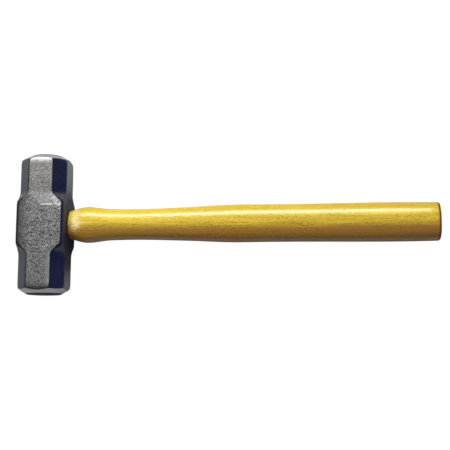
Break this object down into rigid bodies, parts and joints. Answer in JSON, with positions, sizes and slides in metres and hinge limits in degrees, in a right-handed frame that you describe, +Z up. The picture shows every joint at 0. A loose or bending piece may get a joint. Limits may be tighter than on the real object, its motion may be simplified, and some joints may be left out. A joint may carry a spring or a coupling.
{
  "type": "sledgehammer",
  "caption": "Double-faced sledgehammer: forged steel head with eight-sided necks and crowned faces, wedged on an oval hardwood handle with a swelling grip.",
  "frame": {"origin": "on the flat of the lower cheek, straight under the crossing of the striking axis and the handle's axis", "axes": "+X along the handle from the head to the butt, +Y along the striking axis, +Z up from the lower cheek to the upper one"},
  "size_m": [0.404, 0.136, 0.046],
  "materials": {
    "head": "shot-blasted forging with smooth, darker corner flats",
    "handle": "clear lacquered hickory",
    "wood_wedge": "raw end grain",
    "steel_wedge": "dull struck steel"
  },
  "bodies": {
    "root": {"head": "head", "handle": "handle", "wood_wedge": "wood_wedge", "steel_wedge_upper": "steel_wedge", "steel_wedge_lower": "steel_wedge"}
  },
  "joints": []
}
